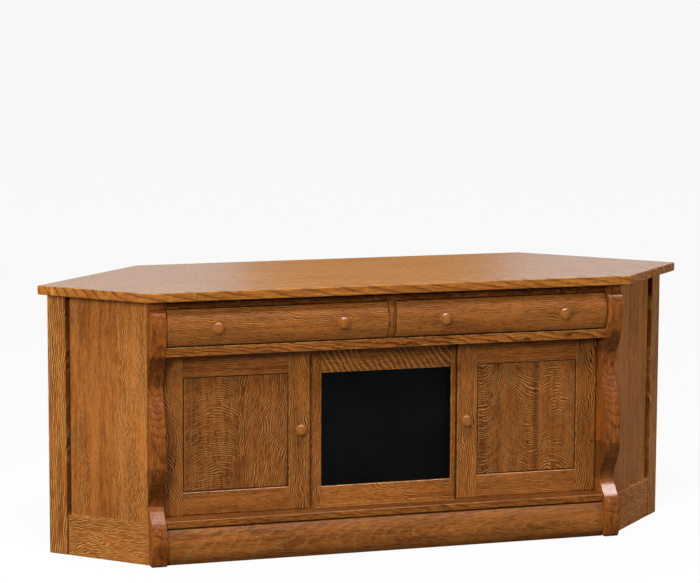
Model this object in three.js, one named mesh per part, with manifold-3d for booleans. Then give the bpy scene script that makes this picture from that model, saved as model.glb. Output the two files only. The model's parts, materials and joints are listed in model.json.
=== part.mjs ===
// Corner media cabinet with sleigh front posts, two bow-front drawers and three bypass doors.
// Millimetres, +Z up. The front faces -Y, the cabinet is symmetric about X = 0 and stands on Z = 0.
// Depths are set back from the front edge of the top until the whole cabinet is centred at the end.

import * as THREE from 'three';
import { mergeVertices } from 'three/addons/utils/BufferGeometryUtils.js';
import Module from 'manifold-3d';

const wasm = await Module();
wasm.setup();

// Overall sizes
const overallHeight = 762;
const topFrontWidth = 1409.7;
const topSideLength = 355.6;
const topDepth = 609.6;
const topThickness = 25.4;

// Clearances
const seatGap = 0.3;
const slideGap = 1;
const drawerReveal = 2.2;
const doorEndGap = 3;
const cutOverrun = 5;

// Softened arrises
const topEase = 2.5;
const postEase = 2.5;
const boardEase = 1.2;
const bowEase = 1.5;

// Sleigh front posts
const sleighPostWidth = 44.45;
const sleighPostInset = 12.35;
const sleighPostSetback = 9.5;
const sleighRelief = 56;
const sleighFootHeight = 124;

// Rear posts and angled sides
const rearPostWidth = 58.7;
const rearPostThickness = 44.45;
const rearPostInset = 44.45;
const sideRailInset = 46.5;
const sideRailHeight = 114.3;
const sideRailThickness = 25.4;
const sidePanelInset = 56;
const sidePanelThickness = 19.05;
const panelRevealWidth = 9;
const panelRevealDepth = 9;

// Rails across the front
const baseRailHeight = 103.3;
const baseRailSetback = 38;
const baseRailBulge = 13.5;
const baseRailThickness = 24;
const shadowLineHeight = 5.3;
const shadowLineDepth = 12;
const sillHeight = 19.05;
const sillSetback = 35;
const midRailHeight = 25.4;
const midRailSetback = 33;
const fasciaHeight = 23.3;
const fasciaSetback = 38;
const fasciaThickness = 19.05;

// Drawers
const drawerOpeningHeight = 106.6;
const drawerSetback = 37;
const drawerBulge = 17.5;
const drawerFrontThickness = 21;
const dividerWidth = 20;
const drawerRearSpace = 70;
const drawerBoxHeight = 76.2;
const drawerSideThickness = 12.7;
const drawerBottomThickness = 6.35;
const drawerBottomRise = 9.5;
const drawerGrooveDepth = 5.5;
const drawerGuideWidth = 15.9;
const drawerGuideHeight = 19.05;
const drawerKnobSpacing = 359;
const dovetailLength = 14;
const dovetailCount = 4;
const dovetailShares = { wide: 0.72, narrow: 0.5, centre: 0.5 };

// Doors
const doorSetback = 96;
const doorThickness = 20;
const doorStileWidth = 60.3;
const doorTopRail = 74;
const doorBottomRail = 71.35;
const doorGrooveDepth = 9.5;
const doorPanelThickness = 6.35;
const glassDoorWidth = 508.6;
const glassDoorLap = 34.5;
const glassDoorRestOffset = 16;
const glassTopRail = 83;
const glassBottomRail = 60.35;
const glassThickness = 6;
const glassEdgeThickness = 3;
const glassBevelWidth = 19.05;
const doorKnobHeight = 234;
// The right door's knob stands this far from the middle of its stile
const rightKnobShift = -8.1;
const doorRebateHeight = 8.3;
const doorRebateDepth = 4.5;

// Door tracks
const trackDrop = 6;
const doorLift = 8;
const guideThickness = 3;
const lowerGuideHeight = 9;
const upperGuideGrip = 6;

// Knobs
const knobDiameter = 33.3;
const knobProjection = 25.4;
const knobNeckDiameter = 15;
const knobShoulderDiameter = 19;
const knobTenonDiameter = 9.5;
const knobTenonLength = 12;

// Inside boards and backs
const bottomBoardThickness = 19.05;
const deckThickness = 12.7;
const webThickness = 19.05;
const partitionThickness = 19.05;
const partitionSpacing = 450;
const shelfThickness = 19.05;
const shelfHeight = 221.35;
const shelfSetback = 16;
const dadoDepth = 6;
const backThickness = 12.7;
const backInset = 6.35;
const wireHoleDiameter = 63.5;
const wireHoleRise = 80;

// How finely round work is divided
const curveSteps = 12;
const turnedSteps = 20;
const knobCurveSteps = 3;
const holeSteps = 32;

// Heights that follow from the sizes above
const caseHeight = overallHeight - topThickness - seatGap;
const fasciaBottom = caseHeight - fasciaHeight;
const midRailTop = fasciaBottom - drawerOpeningHeight;
const midRailBottom = midRailTop - midRailHeight;
const sillBottom = baseRailHeight + seatGap;
const sillTop = sillBottom + sillHeight;
const floorTop = sillTop - trackDrop;
const deckBottom = midRailTop - deckThickness;
const doorBottom = floorTop + seatGap;
const doorHeight = deckBottom - doorLift - doorBottom;
const drawerBoxBottom = midRailTop + seatGap;
const shelfBottom = floorTop + shelfHeight;
const shelfTop = shelfBottom + shelfThickness;

// Widths and depths that follow
const halfTop = topFrontWidth / 2;
const postOuter = halfTop - sleighPostInset;
const postInner = postOuter - sleighPostWidth;
const doorway = 2 * postInner;
const railLength = doorway - 2 * seatGap;
const trackFront = doorSetback - slideGap;
const guideFront = doorSetback + doorThickness + slideGap;
const glassDoorSetback = guideFront + guideThickness + slideGap;
const trackRear = glassDoorSetback + doorThickness + slideGap;
const railInner = sideRailInset + sideRailThickness;
const panelInner = sidePanelInset + sidePanelThickness;
const sideInner = Math.max(railInner, panelInner);
const rearPostInner = rearPostInset + rearPostThickness;
const rearPostStart = topSideLength - rearPostWidth;
const backInner = backInset + backThickness;
const centreGap = glassDoorWidth - 2 * glassDoorLap;
const woodDoorWidth = (doorway - centreGap) / 2 - doorEndGap;
const drawerFrontWidth = postInner - dividerWidth / 2 - doorEndGap - drawerReveal;
const drawerFrontHeight = drawerOpeningHeight - 2 * drawerReveal;
const drawerBoxFront = drawerSetback + drawerFrontThickness;
const drawerCentre = dividerWidth / 2 + drawerReveal + drawerFrontWidth / 2;
const drawerOuter = drawerCentre + drawerFrontWidth / 2;
const drawerBoxRear = spaceDepth(drawerOuter) - drawerRearSpace;
const drawerBoxDepth = drawerBoxRear - drawerBoxFront;

// Left and right, with the sign of X on each
const sides = [['left', -1], ['right', 1]];

// Finishes, seen under plain light
const finishes = {
  caseOak: { color: 0x9a5a26, roughness: 0.42, metalness: 0 },
  panelOak: { color: 0x8d5122, roughness: 0.45, metalness: 0 },
  topOak: { color: 0xa4662f, roughness: 0.35, metalness: 0 },
  postOak: { color: 0x7f4520, roughness: 0.38, metalness: 0 },
  knobOak: { color: 0xb27a41, roughness: 0.35, metalness: 0 },
  insideBoard: { color: 0xb88a58, roughness: 0.6, metalness: 0 },
  drawerMaple: { color: 0xd8b98a, roughness: 0.55, metalness: 0 },
  smokedGlass: { color: 0x0c0e10, roughness: 0.08, metalness: 0 },
};

// Axes for outlines that are drawn as a side section and run across the cabinet
const acrossCabinet = new THREE.Matrix4().makeBasis(
  new THREE.Vector3(0, 1, 0),
  new THREE.Vector3(0, 0, 1),
  new THREE.Vector3(1, 0, 0),
);

// Axes for outlines that are drawn as a front section and run from front to back
const frontToBack = new THREE.Matrix4().makeBasis(
  new THREE.Vector3(1, 0, 0),
  new THREE.Vector3(0, 0, 1),
  new THREE.Vector3(0, -1, 0),
);

function shapeOf(points) {
  return new THREE.Shape(points.map(([across, up]) => new THREE.Vector2(across, up)));
}

// An outline that runs anticlockwise has each outward corner cut back by the ease
function easedOutline(points, ease) {
  const eased = [];
  points.forEach((point, index) => {
    const here = new THREE.Vector2(...point);
    const before = new THREE.Vector2(...points.at(index - 1)).sub(here).normalize();
    const after = new THREE.Vector2(...points[(index + 1) % points.length]).sub(here).normalize();
    const outward = after.cross(before) > 0;
    if (outward) {
      eased.push(here.clone().addScaledVector(before, ease).toArray());
      eased.push(here.clone().addScaledVector(after, ease).toArray());
    } else {
      eased.push(point);
    }
  });
  return eased;
}

// A shape pushed out along Z from zero, with its end arrises softened
function prism(shape, length, ease = 0, bevelSegments = 1) {
  const geometry = new THREE.ExtrudeGeometry(shape, {
    depth: length - 2 * ease,
    bevelEnabled: ease > 0,
    bevelThickness: ease,
    bevelSize: ease,
    bevelOffset: -ease,
    bevelSegments,
    curveSegments: curveSteps,
  });
  return geometry.translate(0, 0, ease);
}

function rectangle(width, depth) {
  return [[-width / 2, -depth / 2], [width / 2, -depth / 2], [width / 2, depth / 2], [-width / 2, depth / 2]];
}

// A planed board standing on its own lower face, centred in width and depth
function board(width, depth, height, ease = boardEase) {
  return prism(shapeOf(easedOutline(rectangle(width, depth), ease)), height, ease);
}

function plainBlock(width, depth, height) {
  return new THREE.BoxGeometry(width, depth, height).translate(0, 0, height / 2);
}

function solidOf(geometry) {
  const bare = geometry.clone();
  bare.deleteAttribute('normal');
  bare.deleteAttribute('uv');
  const merged = mergeVertices(bare);
  const triangles = merged.index.array;
  return new wasm.Manifold(new wasm.Mesh({
    numProp: 3,
    vertProperties: new Float32Array(merged.attributes.position.array),
    triVerts: new Uint32Array(triangles),
  }));
}

function geometryOf(solid) {
  const { vertProperties, triVerts } = solid.getMesh();
  const geometry = new THREE.BufferGeometry();
  geometry.setAttribute('position', new THREE.BufferAttribute(vertProperties, 3));
  geometry.setIndex(new THREE.BufferAttribute(triVerts, 1));
  const faceted = geometry.toNonIndexed();
  faceted.computeVertexNormals();
  return faceted;
}

function cutFrom(geometry, ...cutters) {
  return geometryOf(cutters.reduce((solid, cutter) => solid.subtract(solidOf(cutter)), solidOf(geometry)));
}

function joinTo(geometry, ...pieces) {
  return geometryOf(pieces.reduce((solid, piece) => solid.add(solidOf(piece)), solidOf(geometry)));
}

function piece(parent, name, geometry, finish, place = [0, 0, 0]) {
  const mesh = new THREE.Mesh(geometry, new THREE.MeshStandardMaterial(finishes[finish]));
  mesh.name = name;
  mesh.position.set(...place);
  parent.add(mesh);
  return mesh;
}

// A point of the angled right side: how far along it from the top's front corner, and how far inward
function onSide(along, inward) {
  return [halfTop + (along - inward) / Math.SQRT2, (along + inward) / Math.SQRT2];
}

// Where a line at a set depth crosses a line parallel to the angled side
function sideAtDepth(depth, inward) {
  return onSide(depth * Math.SQRT2 - inward, inward);
}

// How deep the space before the backs is, at a distance from the middle of the cabinet
function spaceDepth(across) {
  const slanted = halfTop + (topSideLength - backInner) * Math.SQRT2 - across;
  return Math.min(slanted, topDepth - backInner);
}

// Where the slanted back and the straight back meet, both moved in by the same amount
function backCorner(inset) {
  const along = topSideLength - inset;
  return onSide(along, (topDepth - inset) * Math.SQRT2 - along);
}

// The right half of an outline, front to back, becomes a whole outline
function mirrored(rightHalf) {
  const leftHalf = rightHalf.map(([across, depth]) => [-across, depth]).reverse();
  return [...rightHalf, ...leftHalf];
}

// A board that fills the case behind the given depth, notched round the rear posts
function sideBayEdge(frontDepth, inward) {
  return [
    sideAtDepth(frontDepth, inward),
    onSide(rearPostStart - seatGap, inward),
    onSide(rearPostStart - seatGap, rearPostInner + seatGap),
    onSide(topSideLength - backInner - seatGap, rearPostInner + seatGap),
    backCorner(backInner + seatGap),
  ];
}

// Top
function addTop(cabinet) {
  const outline = mirrored([
    [halfTop, 0],
    onSide(topSideLength, 0),
    backCorner(0),
  ]);
  const slab = prism(shapeOf(outline), topThickness, topEase, 2);
  piece(cabinet, 'top_slab', slab, 'topOak', [0, 0, overallHeight - topThickness]);
}

// Sleigh posts: one front curve from the floor to the top, drawn as a side section. Each stretch has
// its own shares: set counts back from the most forward line, up counts within the stretch
const footShares = { set: 0.27, lowSet: -0.12, lowUp: 0.24, highSet: -0.1, highUp: 0.72, lipSet: 0.38 };
const coveShares = { set: 0.96, controlSet: 0.94, controlUp: 0.06, up: 0.1 };
const kneeShares = { set: 0.235, lowUp: 0.31, highUp: 0.44, coveControlUp: 0.17, kneeControlUp: 0.22 };
const hollowShares = { up: 0.8, kneeControlUp: 0.63, lowControlUp: 0.73, highControlUp: 0.865 };
const arrisShares = { set: 0.35, controlSet: 0.72, controlUp: 0.935 };
const crestShares = { set: 0.04, up: 0.6, controlSet: 0.2, controlUp: 0.24, underUp: 0.42 };
const shoulderShares = { set: 0.51, crestUp: 0.84, controlSet: 0.12 };

function sleighSection() {
  const back = (share) => sleighPostSetback + share * sleighRelief;
  const foot = (share) => share * sleighFootHeight;
  const shank = (share) => sleighFootHeight + share * (midRailBottom - sleighFootHeight);
  const head = (share) => midRailBottom + share * (fasciaBottom - midRailBottom);
  const shape = new THREE.Shape();
  shape.moveTo(trackRear, 0);
  shape.lineTo(trackRear, caseHeight);
  shape.lineTo(back(shoulderShares.set), caseHeight);
  shape.lineTo(back(shoulderShares.set), head(1));
  shape.bezierCurveTo(
    back(shoulderShares.controlSet), head(1),
    back(crestShares.set), head(shoulderShares.crestUp),
    back(crestShares.set), head(crestShares.up),
  );
  shape.bezierCurveTo(
    back(crestShares.set), head(crestShares.underUp),
    back(crestShares.controlSet), head(crestShares.controlUp),
    back(arrisShares.set), head(0),
  );
  shape.bezierCurveTo(
    back(arrisShares.controlSet), shank(arrisShares.controlUp),
    back(1), shank(hollowShares.highControlUp),
    back(1), shank(hollowShares.up),
  );
  shape.bezierCurveTo(
    back(1), shank(hollowShares.lowControlUp),
    back(kneeShares.set), shank(hollowShares.kneeControlUp),
    back(kneeShares.set), shank(kneeShares.highUp),
  );
  shape.lineTo(back(kneeShares.set), shank(kneeShares.lowUp));
  shape.bezierCurveTo(
    back(kneeShares.set), shank(kneeShares.kneeControlUp),
    back(coveShares.set), shank(kneeShares.coveControlUp),
    back(coveShares.set), shank(coveShares.up),
  );
  shape.quadraticCurveTo(
    back(coveShares.controlSet), shank(coveShares.controlUp),
    back(footShares.lipSet), foot(1),
  );
  shape.bezierCurveTo(
    back(footShares.highSet), foot(footShares.highUp),
    back(footShares.lowSet), foot(footShares.lowUp),
    back(footShares.set), 0,
  );
  shape.closePath();
  return shape;
}

function addSleighPosts(cabinet) {
  const post = prism(sleighSection(), sleighPostWidth, postEase, 2).applyMatrix4(acrossCabinet);
  piece(cabinet, 'left_sleigh_post', post, 'postOak', [-postOuter, 0, 0]);
  piece(cabinet, 'right_sleigh_post', post.clone(), 'postOak', [postInner, 0, 0]);
}

// Angled sides, each drawn in its own turned group: X runs outward along the side, Y runs inward
function sideOutline(sign, corners) {
  const points = corners.map(([along, inward]) => [sign * along, inward]);
  return sign > 0 ? points : points.reverse();
}

function mitreAtPost(inward) {
  return inward - (sleighPostInset - seatGap) * Math.SQRT2;
}

function addSide(cabinet, sideName, sign) {
  const side = new THREE.Group();
  side.position.set(sign * halfTop, 0, 0);
  side.rotation.z = sign * Math.PI / 4;
  cabinet.add(side);

  const post = sideOutline(sign, [
    [rearPostStart, rearPostInset],
    [topSideLength, rearPostInset],
    [topSideLength, rearPostInner],
    [rearPostStart, rearPostInner],
  ]);
  const postSolid = prism(shapeOf(easedOutline(post, postEase)), caseHeight, postEase);
  piece(side, `${sideName}_rear_post`, postSolid, 'caseOak');

  const rail = sideOutline(sign, [
    [mitreAtPost(sideRailInset), sideRailInset],
    [rearPostStart - seatGap, sideRailInset],
    [rearPostStart - seatGap, railInner],
    [mitreAtPost(railInner), railInner],
  ]);
  piece(side, `${sideName}_side_rail`, prism(shapeOf(rail), sideRailHeight, boardEase), 'caseOak');

  const panel = sideOutline(sign, [
    [mitreAtPost(sidePanelInset), sidePanelInset],
    [rearPostStart - panelRevealWidth, sidePanelInset],
    [rearPostStart - panelRevealWidth, sidePanelInset + panelRevealDepth],
    [rearPostStart - seatGap, sidePanelInset + panelRevealDepth],
    [rearPostStart - seatGap, panelInner],
    [mitreAtPost(panelInner), panelInner],
  ]);
  const panelBottom = sideRailHeight + seatGap;
  const panelHeight = caseHeight - panelBottom;
  const dado = plainBlock(2 * topSideLength, 2 * dadoDepth, shelfThickness + 2 * seatGap)
    .translate(0, panelInner, shelfBottom - seatGap - panelBottom);
  const panelSolid = cutFrom(prism(shapeOf(panel), panelHeight), dado);
  piece(side, `${sideName}_side_panel`, panelSolid, 'panelOak', [0, 0, panelBottom]);

  const wallFace = topSideLength - backInset;
  const wallInner = topSideLength - backInner;
  const wallEnd = (inset) => (topDepth - inset) * Math.SQRT2 - (topSideLength - inset);
  const back = sideOutline(sign, [
    [wallFace, rearPostInner + seatGap],
    [wallFace, wallEnd(backInset)],
    [wallInner, wallEnd(backInner)],
    [wallInner, rearPostInner + seatGap],
  ]);
  piece(side, `${sideName}_wall_back`, prism(shapeOf(back), caseHeight), 'insideBoard');
}

function addCentreBack(cabinet) {
  const [outerX, outerDepth] = backCorner(backInset);
  const [innerX, innerDepth] = backCorner(backInner);
  const trim = 2 * seatGap;
  const outline = mirrored([[innerX - trim, innerDepth], [outerX - trim, outerDepth]]);
  const wireHoles = [floorTop, shelfTop].map((level) => new THREE.CylinderGeometry(
    wireHoleDiameter / 2, wireHoleDiameter / 2, backThickness + 2 * cutOverrun, holeSteps,
  ).translate(0, outerDepth - backThickness / 2, level + wireHoleRise));
  piece(cabinet, 'centre_back', cutFrom(prism(shapeOf(outline), caseHeight), ...wireHoles), 'insideBoard');
}

// A bowed section, drawn as depth and height, whose front edge is an arc between two square edges
function bowedSection(frontDepth, bulge, rearDepth, height) {
  const radius = (height * height / 4 + bulge * bulge) / (2 * bulge);
  const centreDepth = frontDepth - bulge + radius;
  const halfAngle = Math.asin(height / 2 / radius);
  const shape = new THREE.Shape();
  shape.moveTo(frontDepth, 0);
  shape.lineTo(rearDepth, 0);
  shape.lineTo(rearDepth, height);
  shape.lineTo(frontDepth, height);
  shape.absarc(centreDepth, height / 2, radius, Math.PI - halfAngle, Math.PI + halfAngle, false);
  return shape;
}

function bowedRail(frontDepth, bulge, rearDepth, height, length) {
  const section = bowedSection(frontDepth, bulge, rearDepth, height);
  return prism(section, length, bowEase).applyMatrix4(acrossCabinet).translate(-length / 2, 0, 0);
}

// Rails across the front, between the sleigh posts
function addFrontRails(cabinet) {
  const baseRear = baseRailSetback + baseRailThickness;
  const bowHeight = baseRailHeight - shadowLineHeight;
  const bow = bowedRail(baseRailSetback, baseRailBulge, baseRear, bowHeight, railLength);
  const tongueFront = baseRailSetback + shadowLineDepth;
  const tongue = plainBlock(railLength, baseRear - tongueFront, baseRailHeight)
    .translate(0, (tongueFront + baseRear) / 2, 0);
  piece(cabinet, 'base_rail', joinTo(bow, tongue), 'caseOak');

  const rails = [
    ['sill_rail', sillSetback, trackFront, sillBottom, sillHeight],
    ['mid_rail', midRailSetback, trackFront, midRailBottom, midRailHeight],
    ['fascia_rail', fasciaSetback, fasciaSetback + fasciaThickness, fasciaBottom, fasciaHeight],
  ];
  for (const [name, front, rear, bottom, height] of rails) {
    const rail = board(railLength, rear - front, height);
    piece(cabinet, name, rail, 'caseOak', [0, (front + rear) / 2, bottom]);
  }

  const dividerHeight = drawerOpeningHeight - 2 * seatGap;
  const divider = bowedRail(drawerSetback, drawerBulge, trackFront, dividerHeight, dividerWidth);
  piece(cabinet, 'drawer_divider', divider, 'caseOak', [0, 0, midRailTop + seatGap]);
}

// Floor, drawer deck, drawer web and guides, partitions and shelves
function addInside(cabinet) {
  const boardFront = trackFront + seatGap;
  const boardStep = trackRear + seatGap;
  const boardSide = sideInner + seatGap;
  const inside = mirrored([
    [postInner - seatGap, boardFront],
    [postInner - seatGap, boardStep],
    ...sideBayEdge(boardStep, boardSide),
  ]);
  const floor = prism(shapeOf(inside), bottomBoardThickness);
  piece(cabinet, 'bottom_board', floor, 'insideBoard', [0, 0, floorTop - bottomBoardThickness]);
  piece(cabinet, 'drawer_deck', prism(shapeOf(inside), deckThickness), 'insideBoard', [0, 0, deckBottom]);

  const backPlane = topDepth - backInner - seatGap;
  const webFront = trackFront + seatGap;
  const webHeight = caseHeight - midRailTop - seatGap;
  const web = board(webThickness, backPlane - webFront, webHeight);
  piece(cabinet, 'drawer_web', web, 'insideBoard', [0, (webFront + backPlane) / 2, midRailTop + seatGap]);

  const runnerFront = trackRear + seatGap;
  const runnerOuter = drawerOuter + slideGap + drawerGuideWidth;
  const runnerRear = spaceDepth(runnerOuter) - seatGap;
  const guide = board(drawerGuideWidth, runnerRear - runnerFront, drawerGuideHeight);
  const runnerCentre = runnerOuter - drawerGuideWidth / 2;
  for (const [sideName, sign] of sides) {
    const place = [sign * runnerCentre, (runnerFront + runnerRear) / 2, midRailTop + seatGap];
    piece(cabinet, `${sideName}_drawer_guide`, guide.clone(), 'insideBoard', place);
  }

  const partitionFront = trackRear;
  const partitionDepth = backPlane - partitionFront;
  const partitionBottom = floorTop + seatGap;
  const partitionHeight = deckBottom - seatGap - partitionBottom;
  const dadoHeight = shelfThickness + 2 * seatGap;
  const dadoRise = shelfBottom - seatGap - partitionBottom;
  const shelfFront = trackRear + shelfSetback;
  for (const [sideName, sign] of sides) {
    const dados = [-1, 1].map((face) => plainBlock(2 * dadoDepth, partitionDepth, dadoHeight)
      .translate(face * partitionThickness / 2, shelfSetback - seatGap, dadoRise));
    const partition = cutFrom(board(partitionThickness, partitionDepth, partitionHeight), ...dados);
    const place = [sign * partitionSpacing / 2, (partitionFront + backPlane) / 2, partitionBottom];
    piece(cabinet, `${sideName}_partition`, partition, 'insideBoard', place);

    const innerEdge = partitionSpacing / 2 + partitionThickness / 2 - dadoDepth + seatGap;
    const shelfSide = panelInner - dadoDepth + seatGap;
    const shelf = sideOutline(sign, [
      [innerEdge, shelfFront],
      ...sideBayEdge(shelfFront, shelfSide),
      [innerEdge, backPlane],
    ]);
    const shelfPlace = [0, 0, shelfBottom];
    piece(cabinet, `${sideName}_shelf`, prism(shapeOf(shelf), shelfThickness), 'insideBoard', shelfPlace);
  }
  const centreWidth = partitionSpacing - partitionThickness + 2 * (dadoDepth - seatGap);
  const centreShelf = plainBlock(centreWidth, backPlane - shelfFront, shelfThickness);
  const centrePlace = [0, (shelfFront + backPlane) / 2, shelfBottom];
  piece(cabinet, 'centre_shelf', centreShelf, 'insideBoard', centrePlace);

  const guideDepth = guideFront + guideThickness / 2;
  const lowerGuide = plainBlock(railLength, guideThickness, lowerGuideHeight);
  piece(cabinet, 'lower_door_guide', lowerGuide, 'insideBoard', [0, guideDepth, floorTop + seatGap]);
  const upperGuideHeight = doorLift + upperGuideGrip - seatGap;
  const upperGuideBottom = deckBottom - seatGap - upperGuideHeight;
  const upperGuide = plainBlock(railLength, guideThickness, upperGuideHeight);
  piece(cabinet, 'upper_door_guide', upperGuide, 'insideBoard', [0, guideDepth, upperGuideBottom]);
}

// A turned knob along -Y from its seat, with its tenon going back into the wood
const knobShares = {
  flareStart: 0.14,
  neck: 0.3,
  flare: 0.48,
  flareEnd: 0.56,
  underRim: 0.86,
  rimLow: 0.62,
  rim: 0.72,
  rimHigh: 0.84,
  faceStart: 0.92,
  faceEdge: 0.8,
  faceCurve: 0.45,
};

function knobGeometry() {
  const radius = knobDiameter / 2;
  const tenon = knobTenonDiameter / 2 - seatGap;
  const shoulder = knobShoulderDiameter / 2;
  const neck = knobNeckDiameter / 2;
  const out = (share) => share * knobProjection;
  const wide = (share) => share * radius;
  const shares = knobShares;
  const profile = new THREE.Path();
  profile.moveTo(0, -knobTenonLength + seatGap);
  profile.lineTo(tenon, -knobTenonLength + seatGap);
  profile.lineTo(tenon, seatGap);
  profile.lineTo(shoulder, seatGap);
  profile.quadraticCurveTo(neck, out(shares.flareStart), neck, out(shares.neck));
  profile.quadraticCurveTo(neck, out(shares.flare), wide(shares.underRim), out(shares.flareEnd));
  profile.quadraticCurveTo(radius, out(shares.rimLow), radius, out(shares.rim));
  profile.quadraticCurveTo(radius, out(shares.rimHigh), wide(shares.faceEdge), out(shares.faceStart));
  profile.quadraticCurveTo(wide(shares.faceCurve), knobProjection, 0, knobProjection);
  const points = profile.getPoints(knobCurveSteps);
  return new THREE.LatheGeometry(points, turnedSteps).rotateX(Math.PI);
}

function knobBore() {
  const radius = knobTenonDiameter / 2;
  const length = knobTenonLength + cutOverrun;
  return new THREE.CylinderGeometry(radius, radius, length, turnedSteps)
    .translate(0, knobTenonLength - length / 2, 0);
}

// Door frames, each drawn in a group whose origin is the middle of the door's lower front edge. The front
// is rebated along the foot, so that the face stops clear of the sill
function footRebate(length) {
  return plainBlock(length + 2 * cutOverrun, 2 * doorRebateDepth, 2 * doorRebateHeight)
    .translate(0, 0, -doorRebateHeight);
}

function doorStile(height, grooveSide, fillThickness) {
  const half = doorStileWidth / 2;
  const grooveWidth = fillThickness + 2 * seatGap;
  const near = (doorThickness - grooveWidth) / 2;
  const far = near + grooveWidth;
  const section = [
    [-half, 0],
    [half, 0],
    [half, near],
    [half - doorGrooveDepth, near],
    [half - doorGrooveDepth, far],
    [half, far],
    [half, doorThickness],
    [-half, doorThickness],
  ];
  const points = sideOutline(grooveSide, section);
  const stile = prism(shapeOf(easedOutline(points, boardEase)), height, boardEase);
  return cutFrom(stile, footRebate(doorStileWidth));
}

function doorRail(length, height, grooveUp, fillThickness) {
  const grooveWidth = fillThickness + 2 * seatGap;
  const bar = board(length, doorThickness, height).translate(0, doorThickness / 2, 0);
  const grooveBottom = grooveUp ? height - doorGrooveDepth : -cutOverrun;
  const groove = plainBlock(length + 2 * cutOverrun, grooveWidth, doorGrooveDepth + cutOverrun)
    .translate(0, doorThickness / 2, grooveBottom);
  const tenonReach = doorGrooveDepth - seatGap;
  const tenonHeight = height - doorGrooveDepth - boardEase;
  const tenon = plainBlock(length + 2 * tenonReach, fillThickness, tenonHeight)
    .translate(0, doorThickness / 2, grooveUp ? boardEase : doorGrooveDepth);
  return joinTo(cutFrom(bar, groove), tenon);
}

function doorSizes(width, topRail, bottomRail, fillThickness) {
  const openingWidth = width - 2 * doorStileWidth;
  const openingHeight = doorHeight - topRail - bottomRail;
  const tuck = doorGrooveDepth - seatGap;
  return {
    topRail,
    bottomRail,
    fillThickness,
    railLength: openingWidth - 2 * seatGap,
    panelWidth: openingWidth + 2 * tuck,
    panelHeight: openingHeight + 2 * tuck,
    panelBottom: bottomRail - tuck,
    stileCentre: (width - doorStileWidth) / 2,
  };
}

function addDoorFrame(door, name, sizes, boredStile, knobShift = 0) {
  const { topRail, bottomRail, fillThickness } = sizes;
  for (const [stileName, sign] of sides) {
    const plain = doorStile(doorHeight, -sign, fillThickness);
    const bore = knobBore().translate(knobShift, 0, doorKnobHeight);
    const stile = sign === boredStile ? cutFrom(plain, bore) : plain;
    piece(door, `${name}_${stileName}_stile`, stile, 'caseOak', [sign * sizes.stileCentre, 0, 0]);
  }
  const top = doorRail(sizes.railLength, topRail, false, fillThickness);
  piece(door, `${name}_top_rail`, top, 'caseOak', [0, 0, doorHeight - topRail]);
  const plainBottom = doorRail(sizes.railLength, bottomRail, true, fillThickness);
  const bottom = cutFrom(plainBottom, footRebate(sizes.railLength));
  piece(door, `${name}_bottom_rail`, bottom, 'caseOak');
}

function addWoodDoor(cabinet, name, sign, knobShift) {
  const door = new THREE.Group();
  const centre = sign * (centreGap + woodDoorWidth) / 2;
  door.position.set(centre, doorSetback, doorBottom);
  cabinet.add(door);
  const sizes = doorSizes(woodDoorWidth, doorTopRail, doorBottomRail, doorPanelThickness);
  addDoorFrame(door, name, sizes, -sign, knobShift);
  const panel = plainBlock(sizes.panelWidth, doorPanelThickness, sizes.panelHeight);
  piece(door, `${name}_panel`, panel, 'panelOak', [0, doorThickness / 2, sizes.panelBottom]);
  const knobPlace = [-sign * sizes.stileCentre + knobShift, 0, doorKnobHeight];
  piece(door, `${name}_knob`, knobGeometry(), 'knobOak', knobPlace);
}

// A pane with a bevelled margin on its front face, held in the door's groove by its thin edge
function bevelledPane(width, height) {
  const edgeRear = (doorThickness + glassEdgeThickness) / 2;
  const edge = plainBlock(width, glassEdgeThickness, height).translate(0, doorThickness / 2, 0);
  const rise = glassThickness - glassEdgeThickness;
  const shown = rectangle(width - 2 * doorGrooveDepth, height - 2 * doorGrooveDepth);
  const lens = new THREE.ExtrudeGeometry(shapeOf(shown), {
    depth: glassEdgeThickness,
    bevelEnabled: true,
    bevelThickness: rise,
    bevelSize: glassBevelWidth,
    bevelOffset: -glassBevelWidth,
    bevelSegments: 1,
  });
  lens.applyMatrix4(frontToBack).translate(0, edgeRear, height / 2);
  const behind = plainBlock(width, 2 * rise, height).translate(0, edgeRear + rise, 0);
  return joinTo(cutFrom(lens, behind), edge);
}

function addGlassDoor(cabinet) {
  const door = new THREE.Group();
  door.position.set(glassDoorRestOffset, glassDoorSetback, doorBottom);
  cabinet.add(door);
  const sizes = doorSizes(glassDoorWidth, glassTopRail, glassBottomRail, glassEdgeThickness);
  addDoorFrame(door, 'glass_door', sizes, 0);
  const pane = bevelledPane(sizes.panelWidth, sizes.panelHeight);
  piece(door, 'glass_door_pane', pane, 'smokedGlass', [0, 0, sizes.panelBottom]);
}

// Drawers: a bowed front joined to its sides by half-blind dovetails, drawn at their own depth and height
function dovetails(extra) {
  const pitch = drawerBoxHeight / dovetailCount;
  const wide = pitch * dovetailShares.wide / 2 + extra;
  const narrow = pitch * dovetailShares.narrow / 2 + extra;
  const shoulder = drawerBoxFront + seatGap;
  const tip = drawerBoxFront - dovetailLength - extra;
  const tails = [];
  for (let tail = 0; tail < dovetailCount; tail += 1) {
    const centre = drawerBoxBottom + (tail + dovetailShares.centre) * pitch;
    tails.push([
      [shoulder, centre + narrow],
      [tip, centre + wide],
      [tip, centre - wide],
      [shoulder, centre - narrow],
    ]);
  }
  return tails;
}

function drawerSide() {
  const top = drawerBoxBottom + drawerBoxHeight;
  const front = drawerBoxFront + seatGap;
  const tails = dovetails(0).reverse().flat();
  const outline = [
    [front, drawerBoxBottom],
    [drawerBoxRear, drawerBoxBottom],
    [drawerBoxRear, top],
    [front, top],
    ...tails,
  ];
  return prism(shapeOf(outline), drawerSideThickness).applyMatrix4(acrossCabinet)
    .translate(-drawerSideThickness / 2, 0, 0);
}

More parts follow.
